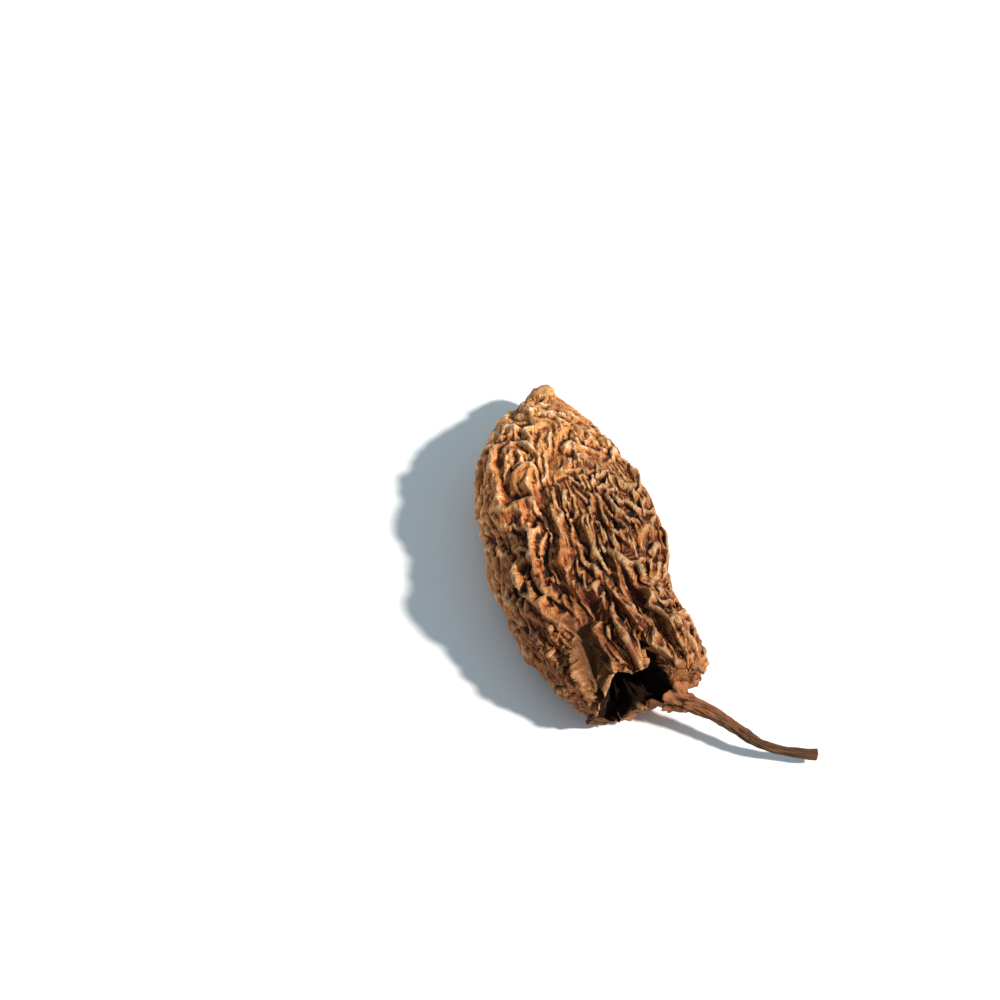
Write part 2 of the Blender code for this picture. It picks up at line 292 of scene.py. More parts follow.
def closed_mesh(name: str, grid: Grid, layers: dict[Layer, Field]) -> bpy.types.Object:
    """An object with a closed, smooth mesh from a grid whose first and last rows are single points.

    Args:
        name: The piece's name.
        grid: Rows by columns by 3, in millimetres.
        layers: A value for each grid point, for each attribute that the material reads.

    Returns:
        The object, linked to the scene.
    """
    rows, columns = grid.shape[:2]
    column = np.arange(columns)
    following = (column + 1) % columns
    starts = 1 + np.arange(rows - 3)[:, None] * columns
    left, right = starts + column, starts + following
    quads = np.stack([left, right, right + columns, left + columns], axis=-1)
    last = 1 + (rows - 3) * columns
    apex = last + columns
    foot = np.stack([0 * column, 1 + following, 1 + column], axis=-1)
    head = np.stack([0 * column + apex, last + column, last + following], axis=-1)
    faces = foot.tolist() + quads.reshape(-1, 4).tolist() + head.tolist()

    def flat(values: Grid) -> Grid:
        """The grid's values in the order of the mesh's vertices."""
        inner = values[1:-1].reshape(-1, *values.shape[2:])
        return np.concatenate([values[0, :1], inner, values[-1, :1]])

    mesh = bpy.data.meshes.new(name)
    mesh.from_pydata((flat(grid) * MM).tolist(), [], faces)
    mesh.shade_smooth()
    for layer, values in layers.items():
        attribute = mesh.attributes.new(layer.value, "FLOAT", "POINT")
        attribute.data.foreach_set("value", flat(values).astype(np.float32))
    mesh.update()
    return placed(name, mesh)


# Finishes


def linear(colour: str) -> tuple[float, float, float, float]:
    """Turns an sRGB colour to linear light: v / 12.92 up to 0.04045, and ((v + 0.055) / 1.055)^2.4 above.

    Args:
        colour: "#" and six hex digits.

    Returns:
        Linear red, green and blue, and an alpha of 1.
    """
    levels = (int(colour[place : place + 2], 16) / 255 for place in (1, 3, 5))
    red, green, blue = (v / 12.92 if v <= 0.04045 else ((v + 0.055) / 1.055) ** 2.4 for v in levels)
    return red, green, blue, 1.0


class Tissue:
    """A material's node tree, and the one function that adds to it."""

    def __init__(self, name: str) -> None:
        """Makes the material with its Principled shader.

        Args:
            name: The material's name.
        """
        self.material = bpy.data.materials.new(name)
        self.material.use_nodes = True
        self.tree = self.material.node_tree
        self.shader = self.tree.nodes["Principled BSDF"]

    def add(
        self, kind: str, settings: Optional[dict] = None, links: Optional[dict] = None, stops: tuple = ()
    ) -> bpy.types.Node:
        """Adds one node.

        Args:
            kind: Blender's name for the node.
            settings: Values by attribute name, or by input name or number for a socket.
            links: Output sockets by the input name or number that each feeds.
            stops: A colour ramp's stops, as (place, hex colour).

        Returns:
            The node.
        """
        node = self.tree.nodes.new(kind)
        for key, value in (settings or {}).items():
            if isinstance(key, str) and hasattr(node, key):
                setattr(node, key, value)
            else:
                node.inputs[key].default_value = value
        for key, output in (links or {}).items():
            self.tree.links.new(output, node.inputs[key])
        for _ in stops[2:]:
            node.color_ramp.elements.new(0.5)
        for number, (place, colour) in enumerate(stops):
            node.color_ramp.elements[number].position = place
            node.color_ramp.elements[number].color = linear(colour)
        return node

    def feed(self, **links: Socket) -> None:
        """Links outputs to the shader's inputs, whose names are written with underscores."""
        for name, output in links.items():
            self.tree.links.new(output, self.shader.inputs[name.replace("_", " ")])


@dataclass(frozen=True)
class Cloud:
    """A noise pattern: the size of its blotches in millimetres, and how much finer detail it has."""

    size_mm: float
    detail: float = 3.0
    roughness: float = 0.5
    distortion: float = 0.0

    def settings(self) -> dict:
        """The noise node's settings, with a scale of one blotch in size_mm."""
        fineness = {"Detail": self.detail, "Roughness": self.roughness, "Distortion": self.distortion}
        return {"Scale": 1 / (self.size_mm * MM), **fineness}


@dataclass(frozen=True)
class Pleats:
    """Thin raised lines where a noise pattern crosses its middle value.

    Attributes:
        pattern: The noise pattern, whose size is the lines' spacing.
        width: How far from the middle value a line reaches.
        raised_mm: The lines' height.
        lightened: What a line adds to the tone's height, which paints a highlight along the line.
    """

    pattern: Cloud
    width: float
    raised_mm: float
    lightened: float


@dataclass(frozen=True)
class DriedSkin:
    """Smoke-dried chilli skin: a thin, leathery hide, tan, with a pale painted highlight on its crests and
    painted shade, nearly black, in its creases.

    It is warmer and lighter toward the tip, duller toward the stem, and faintly satin where raised.
    """

    # The tone by height, each with its place on the ramp: painted shade, near black in the creases and brown
    # on the lower ground, the skin's tan, and a pale painted highlight on the crests
    groove: str = "#1E0A03"
    shade: str = "#8C4A1B"
    body: str = "#DE9956"
    crest: str = "#FADBB2"
    tone_places: tuple = (0.18, 0.40, 0.56, 0.84, 1.0)

    # Painted shade in the broad valleys: the colour, the broad relief from full to none, and the full share
    valley_painted_shade: str = "#8C6446"
    valley_painted_shade_relief: tuple[float, float] = (0.15, 0.55)
    valley_painted_shade_share: float = 0.75

    # Rusty patches of thinner, redder skin, 5 mm across
    rust: str = "#8A4318"
    rusty: Cloud = Cloud(5.0, 4.0, 0.6)
    rusty_from: tuple[float, float] = (0.50, 0.66)
    rust_share: float = 0.60

    # The smokier half toward the stem: the way and the distance that it sets in by
    smoked: str = "#B5A28C"
    smoked_way: tuple[float, float, float] = (1.0, 0.7, 0.0)
    smoked_mm: tuple[float, float] = (-24.0, 6.0)

    # Painted shade colour: a redder, slightly darker tint on the -y side, away from the key light, by y
    shaded_side_tint: str = "#FFE6CE"
    shaded_side_tint_mm: tuple[float, float] = (0.0, -9.0)

    # A dull brown in the recess and on the shoulder's inside, partly the skin's own colour and partly painted
    # shade, and painted shade, near black and dull, in the hollow
    recess_brown_and_shade: str = "#5E3D20"
    # The hollow's painted shade: near black, its edge on the hollow layer, and its lowered specular
    hollow_painted_shade: str = "#1C0D06"
    hollow_painted_shade_edge: tuple[float, float] = (0.05, 0.45)
    hollow_painted_shade_specular: float = 0.1

    # Leather's specular and roughness, which falls from the grooves to the rubbed crests
    specular: float = 0.32
    roughness: tuple[float, float] = (0.80, 0.48)
    worn_relief: tuple[float, float] = (0.3, 0.8)

    # The share of the finest relief in the tone, and a mottle of 1.1 mm that stirs it
    fine_share: float = 0.45
    mottle: Cloud = Cloud(1.1, 4.0, 0.7)
    stir: float = 0.50

    # The real grain is under 0.1 mm, too fine to show, so it is drawn at 0.45 mm
    grain: Cloud = Cloud(0.45, 3.0, 0.65)
    grain_height_mm: float = 0.10

    # Tight pleats that the shrivelled grid is too coarse for, drawn out along the pod
    pleats: tuple = (
        Pleats(Cloud(2.4, distortion=0.5), 0.040, 0.15, 0.26),
        Pleats(Cloud(1.2, distortion=0.5), 0.06, 0.10, 0.20),
    )
    pleat_stretch: float = 0.55

    def heights(self, made: Tissue, place: Socket, reads: dict[Layer, Socket]) -> tuple[Socket, Socket]:
        """Adds the fine patterns to the relief.

        Tone, which puts painted shade in the low relief and a painted highlight on the high: mix(relief, fine
        relief) + stir * (mottle - 1/2) + each pleat line's painted highlight.
        Bump: the grain, and each pleat line's height over the grain's.

        Args:
            made: The material's tree.
            place: The object's coordinates.
            reads: The mesh's attributes.

        Returns:
            The tone's height and the bump's.
        """
        mottle = made.add("ShaderNodeTexNoise", self.mottle.settings(), {"Vector": place})
        stirring = {"operation": "MULTIPLY_ADD", 1: self.stir, 2: -self.stir / 2}
        stirred = made.add("ShaderNodeMath", stirring, {0: mottle.outputs["Fac"]})
        edges = {2: reads[Layer.RELIEF], 3: reads[Layer.FINE_RELIEF]}
        edged = made.add("ShaderNodeMix", {"Factor": self.fine_share}, edges)
        terms = {0: edged.outputs[0], 1: stirred.outputs[0]}
        height = made.add("ShaderNodeMath", {"operation": "ADD"}, terms).outputs[0]
        bump_height = made.add("ShaderNodeTexNoise", self.grain.settings(), {"Vector": place}).outputs["Fac"]
        drawn = made.add("ShaderNodeMapping", {"Scale": (self.pleat_stretch, 1.0, 1.0)}, {"Vector": place})
        for pleats in self.pleats:
            noise = made.add("ShaderNodeTexNoise", pleats.pattern.settings(), {"Vector": drawn.outputs[0]})
            off = made.add("ShaderNodeMath", {"operation": "SUBTRACT", 1: 0.5}, {0: noise.outputs["Fac"]})
            apart = made.add("ShaderNodeMath", {"operation": "ABSOLUTE"}, {0: off.outputs[0]})
            falling = {"From Max": pleats.width, "To Min": 1.0, "To Max": 0.0}
            line = made.add("ShaderNodeMapRange", falling, {"Value": apart.outputs[0]}).outputs[0]
            raising = {"operation": "MULTIPLY_ADD", 1: pleats.raised_mm / self.grain_height_mm}
            bump_height = made.add("ShaderNodeMath", raising, {0: line, 2: bump_height}).outputs[0]
            # Each pleat line also lifts the tone: a painted highlight along it
            lightening = {"operation": "MULTIPLY_ADD", 1: pleats.lightened}
            height = made.add("ShaderNodeMath", lightening, {0: line, 2: height}).outputs[0]
        return height, bump_height

    def coated(self, made: Tissue, place: Socket, reads: dict[Layer, Socket], colour: Socket) -> Socket:
        """Puts the coats on the tone one by one, each by how far its source is between two values.

        Args:
            made: The material's tree.
            place: The object's coordinates.
            reads: The mesh's attributes.
            colour: The tone.

        Returns:
            The finished colour.
        """
        patches = made.add("ShaderNodeTexNoise", self.rusty.settings(), {"Vector": place}).outputs["Fac"]
        stemward = {"operation": "DOT_PRODUCT", 1: self.smoked_way}
        along = made.add("ShaderNodeVectorMath", stemward, {0: place}).outputs["Value"]
        across = made.add("ShaderNodeSeparateXYZ", links={"Vector": place}).outputs["Y"]
        smoked_from, smoked_to = (limit * MM for limit in self.smoked_mm)
        shaded_side_tint_from, shaded_side_tint_to = (limit * MM for limit in self.shaded_side_tint_mm)
        whole = (0.0, 1.0)
        # Of these coats, the valley shade, the -y side's tint and the hollow's near black are painted shade,
        # and the recess brown partly so; rust and the stemward tint are the skin's own colour
        coats = (
            (Coat.MULTIPLIED, self.valley_painted_shade, reads[Layer.BROAD_RELIEF], self.valley_painted_shade_relief, (self.valley_painted_shade_share, 0.0)),
            (Coat.OVER, self.rust, patches, self.rusty_from, (0.0, self.rust_share)),
            (Coat.MULTIPLIED, self.smoked, along, (smoked_from, smoked_to), whole),
            (Coat.MULTIPLIED, self.shaded_side_tint, across, (shaded_side_tint_from, shaded_side_tint_to), whole),
            (Coat.OVER, self.recess_brown_and_shade, reads[Layer.RECESS], whole, whole),
            (Coat.OVER, self.hollow_painted_shade, reads[Layer.HOLLOW], self.hollow_painted_shade_edge, whole),
        )
        for way, paint, source, (start, end), (first, last) in coats:
            spread = {"From Min": start, "From Max": end, "To Min": first, "To Max": last}
            share = made.add("ShaderNodeMapRange", spread, {"Value": source})
            coat = {"data_type": "RGBA", "blend_type": way.value, "B": linear(paint)}
            mixed = made.add("ShaderNodeMix", coat, {"Factor": share.outputs[0], "A": colour})
            colour = mixed.outputs["Result"]
        return colour

    def material(self) -> bpy.types.Material:
        """Builds the skin's node tree: the height gives the tone, coats go on it, then bump and gloss.

        Returns:
            The material.
        """
        made = Tissue("smoke_dried_chilli_skin")
        place = made.add("ShaderNodeTexCoord").outputs["Object"]
        reads = {
            layer: made.add("ShaderNodeAttribute", {"attribute_name": layer.value}).outputs["Fac"]
            for layer in Layer
        }
        height, bump_height = self.heights(made, place, reads)
        # The ramp paints shade into the creases and a highlight onto the crests, by the relief
        stops = tuple(zip(self.tone_places, (self.groove, self.shade, self.body, self.body, self.crest)))
        tone = made.add("ShaderNodeValToRGB", links={"Fac": height}, stops=stops)
        colour = self.coated(made, place, reads, tone.outputs["Color"])
        relief = {"Strength": 1.0, "Distance": self.grain_height_mm * MM}
        bump = made.add("ShaderNodeBump", relief, {"Height": bump_height})
        (rough, smooth), (low, high) = self.roughness, self.worn_relief
        rubbed = {"From Min": low, "From Max": high, "To Min": rough, "To Max": smooth}
        gloss = made.add("ShaderNodeMapRange", rubbed, {"Value": reads[Layer.RELIEF]})
        dulled = {"From Max": self.hollow_painted_shade_edge[1], "To Min": self.specular, "To Max": self.hollow_painted_shade_specular}
        shine = made.add("ShaderNodeMapRange", dulled, {"Value": reads[Layer.HOLLOW]})
        made.feed(Base_Color=colour, Normal=bump.outputs["Normal"])
        made.feed(Roughness=gloss.outputs[0], Specular_IOR_Level=shine.outputs[0])
        return made.material


@dataclass(frozen=True)
class DryStem:
    """Dry, woody stem tissue: matt and fibrous, brown on the stem and lighter on the calyx's raised ribs."""

    light: str = "#5A3A20"
    dark: str = "#38230F"
    tone_places: tuple = (0.35, 0.95)
    calyx: str = "#8E5632"
    calyx_mm: tuple[float, float] = (36.0, 46.0)
    raised: tuple[float, float] = (0.35, 0.85)
    specular: float = 0.25
    roughness: float = 0.74

    # The real fibres are about 0.1 mm apart, too fine to show, so they are drawn at 0.35 mm
    fibre: Cloud = Cloud(0.35)
    fibre_height_mm: float = 0.08
    fibre_share: float = 0.4

    def material(self) -> bpy.types.Material:
        """Builds the stem's node tree: the tone goes by relief + share * fibre, with a lighter calyx.

        Returns:
            The material.
        """
        made = Tissue("dry_stem_tissue")
        place = made.add("ShaderNodeTexCoord").outputs["Object"]
        relief = made.add("ShaderNodeAttribute", {"attribute_name": Layer.RELIEF.value}).outputs["Fac"]
        fibre = made.add("ShaderNodeTexNoise", self.fibre.settings(), {"Vector": place}).outputs["Fac"]
        adding = {"operation": "MULTIPLY_ADD", 1: self.fibre_share}
        height = made.add("ShaderNodeMath", adding, {0: fibre, 2: relief}).outputs[0]
        stops = tuple(zip(self.tone_places, (self.dark, self.light)))
        tone = made.add("ShaderNodeValToRGB", links={"Fac": height}, stops=stops)
        along = made.add("ShaderNodeSeparateXYZ", links={"Vector": place})
        start, end = (limit * MM for limit in self.calyx_mm)
        fading = {"From Min": start, "From Max": end, "To Min": 1.0, "To Max": 0.0}
        rootward = made.add("ShaderNodeMapRange", fading, {"Value": along.outputs["X"]})
        rising = {"From Min": self.raised[0], "From Max": self.raised[1]}
        raised = made.add("ShaderNodeMapRange", rising, {"Value": height})
        factors = {0: rootward.outputs[0], 1: raised.outputs[0]}
        bright = made.add("ShaderNodeMath", {"operation": "MULTIPLY"}, factors)
        coat = {"data_type": "RGBA", "blend_type": Coat.OVER.value, "B": linear(self.calyx)}
        fresh = made.add("ShaderNodeMix", coat, {"Factor": bright.outputs[0], "A": tone.outputs["Color"]})
        fine = {"Strength": 1.0, "Distance": self.fibre_height_mm * MM}
        bump = made.add("ShaderNodeBump", fine, {"Height": fibre})
        made.shader.inputs["Specular IOR Level"].default_value = self.specular
        made.shader.inputs["Roughness"].default_value = self.roughness
        made.feed(Base_Color=fresh.outputs["Result"], Normal=bump.outputs["Normal"])
        return made.material


@dataclass(frozen=True)
class PaleSheet:
    """Matt studio card, nearly white."""

    colour: str = "#EEEEEE"
    roughness: float = 0.9

    def material(self) -> bpy.types.Material:
        """Builds the card's plain material.

        Returns:
            The material.
        """
        made = Tissue("matt_studio_card")
        made.shader.inputs["Base Color"].default_value = linear(self.colour)
        made.shader.inputs["Roughness"].default_value = self.roughness
        return made.material


# The pod


@dataclass(frozen=True)
class Fold:
    """One long fold on the upper side.

    Attributes:
        crest: The plan points (x, y) of its crest.
        rise: Its height.
        half_width: Its half width.
        eased_in: Share of its length over which it rises.
    """

    crest: tuple
    rise: float
    half_width: float
    eased_in: float = 0.25

    def height(self, plan: Grid, sharpness: float) -> Field:
        """rise * exp(-(distance / half_width)^sharpness), eased in over the fold's first part.

        Args:
            plan: Plan points, anything by 2.
            sharpness: The exponent, with a sharper crest the smaller it is.

        Returns:
            The height at each plan point.
        """
        line = np.asarray(self.crest, float)
        lengths = np.linalg.norm(np.diff(line, axis=0), axis=1)
        nearest = np.full(plan.shape[:-1], np.inf)
        along = np.zeros(plan.shape[:-1])
        done = 0.0
        for start, end, length in zip(line[:-1], line[1:], lengths):
            share = np.clip((plan - start) @ (end - start) / length**2, 0, 1)
            distance = np.linalg.norm(plan - start - share[..., None] * (end - start), axis=-1)
            closer = distance < nearest
            along = np.where(closer, (done + share * length) / lengths.sum(), along)
            nearest = np.where(closer, distance, nearest)
            done += length
        fading = np.exp(-((nearest / self.half_width) ** sharpness))
        return self.rise * fading * smooth_step(along, 0, self.eased_in)


@dataclass(frozen=True)
class Shrivel:
    """One scale of creasing: the skin's rest lengths grow, and it settles between that and the flesh below.

    Attributes:
        every: How many cells of the whole grid make one cell at this scale.
        across: Growth across the creases, as a share.
        along: Growth along them.
        at_tip: Share of the growth that the half toward the tip has.
        patch_seed: Seed of the patches where there is more growth or less.
        start: The waves that the creases grow from.
        start_height: Their height.
        hold: Share of the way back to the flesh that each step takes.
        tightness: The waves by which the hold varies.
        inward_hold: Further share of the way back where the skin has sunk below the flesh.
        stiffness: How strongly each step evens out bending.
        steps: How many steps there are.
        lean: How far the finished creases lean over to one side, as a share of their height.
        drag: Share of its speed that the skin keeps from step to step.
        pull: Share of an edge's error that a step takes away.
        grown_by: Share of the steps by which the growth is full.
    """

    every: int
    across: float
    along: float
    at_tip: float
    patch_seed: int
    start: Waves
    start_height: float
    hold: float
    tightness: Waves
    inward_hold: float
    stiffness: float
    steps: int
    lean: float

    drag: float = 0.85
    pull: float = 0.4
    grown_by: float = 0.6
    shortest_edge: float = 1e-4
    still_rows: tuple[int, int] = (2, 3)
    patch_span: float = 2.6
    patch_stretch: float = 1.3
    patch_depth: float = 0.55
    patch_limits: tuple[float, float] = (0.35, 2.1)
    hold_depth: float = 0.5
    hold_limits: tuple[float, float] = (0.3, 2.0)
    fast_hold: float = 0.5

    def patches(self, place: Grid) -> Field:
        """1 + patch_depth * waves that are patch_span times the start's, kept within the limits."""
        waves = Waves(self.patch_seed, self.patch_span * self.start.length, self.patch_stretch)
        return np.clip(1 + self.patch_depth * waves.at(place), *self.patch_limits)

    def held(self, place: Grid, loose: Field) -> Field:
        """hold * (1 + hold_depth * waves, kept within the limits) + fast_hold * (1 - loose)."""
        uneven = np.clip(1 + self.hold_depth * self.tightness.at(place), *self.hold_limits)
        return self.hold * uneven + self.fast_hold * (1 - loose)

    def rest_lengths(self, skin: Grid, lean: Field, across: Field, along: Field) -> list:
        """Squared lengths of the skin's edges, and what full growth adds to them.

        An edge with components a round the pod and l along it grows by
        ((1 + across)^2 - 1)(a cos lean - l sin lean)^2 + ((1 + along)^2 - 1)(a sin lean + l cos lean)^2.

        Args:
            skin: The flesh's surface, a grid of points.
            lean: Angle of the creases from the pod's length.
            across: Growth across the creases at each point.
            along: Growth along them.

        Returns:
            For each of the four edge directions, the two fields.
        """
        sine, cosine = np.sin(lean), np.cos(lean)
        ahead = next_row(skin)
        round_it = np.linalg.norm(np.roll(skin, -1, 1) - skin, axis=-1)
        down_it = np.linalg.norm(ahead - skin, axis=-1)
        none = np.zeros_like(round_it)
        wide, long = (1 + across) ** 2 - 1, (1 + along) ** 2 - 1
        edges = (
            (round_it, none, np.roll(skin, -1, 1)),
            (none, down_it, ahead),
            (round_it, down_it, np.roll(ahead, -1, 1)),
            (-round_it, down_it, np.roll(ahead, 1, 1)),
        )
        found = []
        for a, l, far in edges:
            squared = ((far - skin) ** 2).sum(axis=-1)
            added = wide * (a * cosine - l * sine) ** 2 + long * (a * sine + l * cosine) ** 2
            found.append((squared.astype(np.float32), added.astype(np.float32)))
        return found

    def settle(self, skin: Grid, first: Grid, lean: Field, across: Field, along: Field, hold: Field) -> Grid:
        """Shrivels the skin: each step keeps some speed, pulls each edge toward its grown length, evens out
        bending and goes back toward the flesh by the hold's share.

        Args:
            skin: The flesh's surface, a grid of points.
            first: The first shift of each point.
            lean: Angle of the creases from the pod's length.
            across: Growth across the creases at each point.
            along: Growth along them.
            hold: The hold at each point.

        Returns:
            The shift of each point from the flesh.
        """
        whole = np.float32(1)
        shortest = np.float32(self.shortest_edge)
        base = skin.astype(np.float32)
        normals = row_normals(skin).astype(np.float32)
        sinking = np.float32(self.inward_hold)
        edges = self.rest_lengths(skin, lean, across, along)
        hold = hold.astype(np.float32)[..., None]
        free = np.ones(base.shape[:2] + (1,), np.float32)
        free[: self.still_rows[0]] = 0
        free[-self.still_rows[1] :] = 0
        shift = first.astype(np.float32) * free
        before = shift.copy()
        drag, stiffness = np.float32(self.drag), np.float32(self.stiffness)
        half = np.float32(self.pull / 2)

        def correction(edge: Grid, wanted: Field) -> Grid:
            """Half of what brings the edge to its wanted length."""
            length = np.sqrt((edge * edge).sum(axis=-1))
            return (half * (whole - wanted / np.maximum(length, shortest)))[..., None] * edge

        for step in range(self.steps):
            grown = np.float32(min(1.0, (step + 1) / (self.steps * self.grown_by)))
            shift, before = shift + drag * (shift - before), shift
            skin_now = base + shift
            wanted = [np.sqrt(squared + grown * added) for squared, added in edges]
            moved = correction(np.roll(skin_now, -1, 1) - skin_now, wanted[0])
            skin_now = skin_now + moved - np.roll(moved, 1, 1)
            moved = correction(skin_now[1:] - skin_now[:-1], wanted[1][:-1])
            skin_now[:-1] += moved
            skin_now[1:] -= moved
            for turn, lengths in ((-1, wanted[2]), (1, wanted[3])):
                moved = correction(np.roll(skin_now[1:], turn, 1) - skin_now[:-1], lengths[:-1])
                skin_now[:-1] += moved
                skin_now[1:] -= np.roll(moved, -turn, 1)
            shift = skin_now - base
            sunk = np.minimum((shift * normals).sum(axis=-1, keepdims=True), 0)
            evened = shift - stiffness * curving(curving(shift))
            shift = (evened - hold * shift - sinking * sunk * normals) * free
        around = unit(np.roll(base, -1, axis=1) - np.roll(base, 1, axis=1))
        return shift + self.lean * (shift * normals).sum(axis=-1, keepdims=True) * around


@dataclass
class Pod:
    """The shrunken fruit: its envelope, folds and hollow, and the creases of its skin."""

    # The envelope: x, y and z of its middle line, half width and half thickness
    stations: tuple = (
        (-40.6, 10.6, 7.0, 0.0, 0.0),
        (-39.9, 10.1, 7.0, 1.6, 1.6),
        (-37.6, 8.6, 7.2, 3.1, 3.2),
        (-34.4, 7.0, 7.6, 5.0, 4.6),
        (-30.5, 4.8, 8.2, 8.2, 6.0),
        (-26.0, 3.2, 8.6, 10.9, 7.3),
        (-21.0, 2.2, 9.0, 12.9, 8.3),
        (-13.0, 1.3, 9.2, 14.5, 9.1),
        (-4.0, 0.0, 9.4, 15.5, 9.5),
        (5.0, -1.3, 9.4, 15.5, 9.7),
        (11.0, -2.4, 9.3, 15.0, 9.5),
        (16.0, -3.0, 9.1, 14.2, 9.1),
        (21.0, -2.1, 8.9, 13.8, 8.8),
        (26.0, -1.4, 8.8, 13.6, 8.5),
        (30.0, -1.0, 8.6, 12.9, 7.9),
        (33.0, -0.7, 8.4, 11.7, 7.0),
        (34.6, -0.6, 8.3, 10.4, 5.9),
    )
    wall_rows: int = 235
    shoulder_rows: int = 46
    columns: int = 344
    top_crowding: float = 0.22
    side_crowding: float = 0.14
    section_roundness: tuple = (0.95, 0.90)
    middle_line_follow: float = 0.5

    # The shoulder's end: angle round the pod, spread, shift along x, and the x from which it comes in
    shoulder_shifts: tuple = (
        (105.0, 48.0, -3.2, 10.0),
        (285.0, 50.0, -2.6, 10.0),
        (205.0, 30.0, -1.6, 10.0),
        (360.0, 30.0, -1.2, 10.0),
        (0.0, 30.0, -1.2, 10.0),
        (76.0, 10.0, -4.6, 20.0),
        (128.0, 12.0, -2.2, 22.0),
    )
    shoulder_crowding: float = 1.1
    shoulder_calm: tuple = (0.15, 0.30)
    shoulder_calm_reach: float = 0.15

    # The calyx seat, and the distances from it over which its flat ground ends
    seat: tuple = (33.9, 3.6, 7.0)
    stem_way: tuple = (0.90, 0.42, 0.08)
    seat_flat: float = 3.0
    seat_fade: float = 4.2

    # The torn hollow: where it leads, its angles, and its reach from the rim in to the seat
    hollow_heart: tuple = (20.5, -2.6, 6.0)
    hollow_depth: float = 0.80
    hollow_angles: tuple = (60.0, 70.0, 212.0, 228.0)
    hollow_reach: tuple = (0.02, 0.12, 0.78, 0.92)
    tear: Waves = Waves(31, 4.5, 1.0, 0.5)
    tear_degrees: float = 3.5
    tear_reach: float = 0.05

    # The curled lip below it: angle and spread, reach, and how far it is lifted
    lip_angle: tuple = (234.0, 11.0)
    lip_reach: tuple = (0.02, 0.20, 0.55, 0.85)
    lip_lift: tuple = (0.4, -0.4, 2.9)

    # The long folds, and the ground that sinks between them
    folds: tuple = (
        Fold(((19, -8.0), (26, -7.0), (31, -5.2), (34, -3.2)), 2.3, 1.2),
        Fold(((12, -7.0), (16, -4.6), (20, -3.6), (25, -2.6), (31, -0.8)), 2.4, 1.2),
        Fold(((14, -2.0), (20, -0.2), (25, 2.0), (33, 4.6)), 2.6, 1.2),
        Fold(((1, -12.4), (8, -12.8), (14, -11.6), (21, -10.8), (28, -11.8)), 2.1, 1.2),
        Fold(((8, 3.2), (16, 4.6), (24, 7.0), (31, 8.8)), 1.8, 1.3),
        Fold(((-4, -8.0), (4, -9.0), (11, -9.6), (17, -9.0)), 1.5, 1.2),
        Fold(((-6, -3.0), (3, -4.6), (9, -5.6), (14, -6.6)), 1.4, 1.2),
    )
    fold_sharpness: float = 1.15
    fold_facing: tuple = (-0.1, 0.5)
    fold_lean: float = 0.4
    fold_lean_limits: tuple = (-1.2, 2.2)
    fold_lean_x: tuple = (0, 15)
    sunken_depth: float = 1.95
    sunken_x: tuple = (8, 20)
    sunken_y: tuple = (-12.5, -10)
    far_side_y: tuple = (4, 8)
    recess_middle: tuple = (27.0, -9.3)
    recess_spread: tuple = (6.0, 2.2)
    recess_depth: float = 1.85
    recess_paint: float = 1.35

    # The ground's wandering, and the lumps, ridges and plates on it
    bend: Wander = Wander((11, 12, 13), 13, 1.3, 1.0)
    ripple: Wander = Wander((21, 22, 23), 5, 1.2, 0.4)
    jag: Wander = Wander((24, 25, 26), 1.6, 1.0, 0.25)
    ridge_share: float = 0.45
    lumps: Waves = Waves(3, 17, 2.2)
    lump_rise: float = 0.5
    long_ridges: Crests = Crests(Waves(5, 8, 3.2, 0.3), 1.0, 1.0, 0.4)
    long_ridge_rise: tuple = (0.8, 0.4)
    long_ridge_x: tuple = (-6, 14)
    plates: Waves = Waves(6, 5.6, 3.0, 0.3)
    plate_rise: float = 0.8
    plate_middle: float = 0.65
    short_ridges: Crests = Crests(Waves(7, 4.6, 2.6), 0.9, 0.6, 0.4)

    # The half toward the tip: where it ends, its slant, how much more its ridges rise, and its own thin lines
    tip_half: tuple = (-14, 6)
    tip_slant: float = 0.4
    tip_gain: float = 0.3
    tip_lines: tuple = (
        Crests(Waves(8, 10.0, 2.5, 0.4), 0.25, 0.9),
        Crests(Waves(9, 6.0, 2.5, 0.4), 0.35, 0.5),
        Crests(Waves(10, 11.0, 3.0, 0.4), 0.20, -1.3),
    )
    tip_line_share: float = 0.5

    # The crags on the two sides near the shoulder
    crags: tuple = (
        Crests(Waves(12, 4.5, 1.6, 0.4), 0.4, 1.2, 0.3),
        Crests(Waves(13, 5.0, 2.0, 0.4), 0.25, -1.3),
    )
    crag_x: tuple = (12, 20)
    crag_y: tuple = (-12, -8)
    far_crag_share: float = 0.5

    # Where the form fades out at the tip, lies flat on the ground, and is kept under the model's top
    tip_fade: float = 3.2
    rest_radius: tuple = (4.0, 8.0)
    rest_sink: float = 0.6
    ceiling: tuple = (19.4, 1.25)

    # The three scales of creasing
    shrivels: tuple = (
        Shrivel(
            every=4, across=0.16, along=0.02, at_tip=0.8, patch_seed=91, start=Waves(81, 5.5, 2.2, 0.4),
            start_height=0.25, hold=0.04, tightness=Waves(95, 12, 1.5), inward_hold=0.05,
            stiffness=0.10, steps=120, lean=0.3,
        ),
        Shrivel(
            every=2, across=0.30, along=0.02, at_tip=0.35, patch_seed=92,
            start=Waves(82, 2.6, 3.5, 0.4), start_height=0.30, hold=0.02, tightness=Waves(96, 12, 1.5),
            inward_hold=0.25, stiffness=0.025, steps=200, lean=0.6,
        ),
        Shrivel(
            every=1, across=0.30, along=0.03, at_tip=0.25, patch_seed=93,
            start=Waves(83, 1.3, 3.0, 0.4), start_height=0.15, hold=0.035, tightness=Waves(97, 12, 1.5),
            inward_hold=0.20, stiffness=0.018, steps=160, lean=0.45,
        ),
    )
    drift: Wander = Wander((11, 12, 13), 9, 1.2, 0.5)

